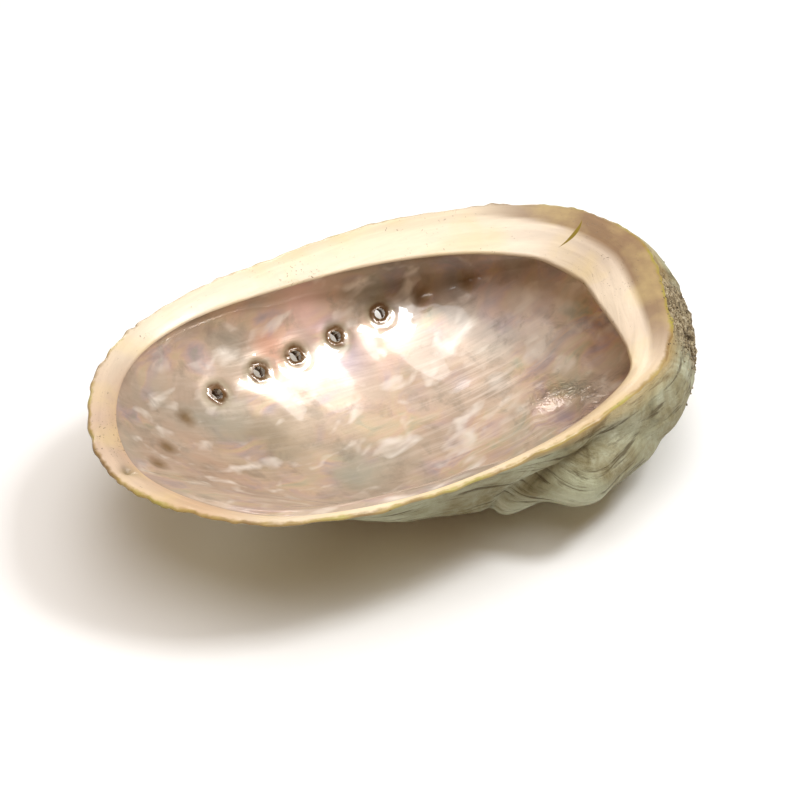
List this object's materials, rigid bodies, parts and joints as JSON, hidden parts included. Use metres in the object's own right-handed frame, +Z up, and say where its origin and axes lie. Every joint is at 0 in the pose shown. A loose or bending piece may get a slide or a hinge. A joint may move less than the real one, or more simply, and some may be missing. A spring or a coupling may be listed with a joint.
{
  "type": "abalone shell",
  "caption": "empty abalone shell lying mouth up: a shallow ear-shaped bowl of mother-of-pearl with a flat inner shelf, a low spire and a row of pores",
  "frame": {"origin": "on the ground, under the middle of the shell's bounding box", "axes": "+X toward the rear (spire) end along the shell's length, +Y toward the side with the flat shelf, +Z up out of the mouth"},
  "size_m": [0.149, 0.1024, 0.0353],
  "materials": {
    "shell": "nacre inside: glossy, pinkish beige with faint rainbow colours; porcelain cream shelf; dull sage-green, slightly gritty outside"
  },
  "bodies": {
    "root": {"shell": "shell"}
  },
  "joints": []
}
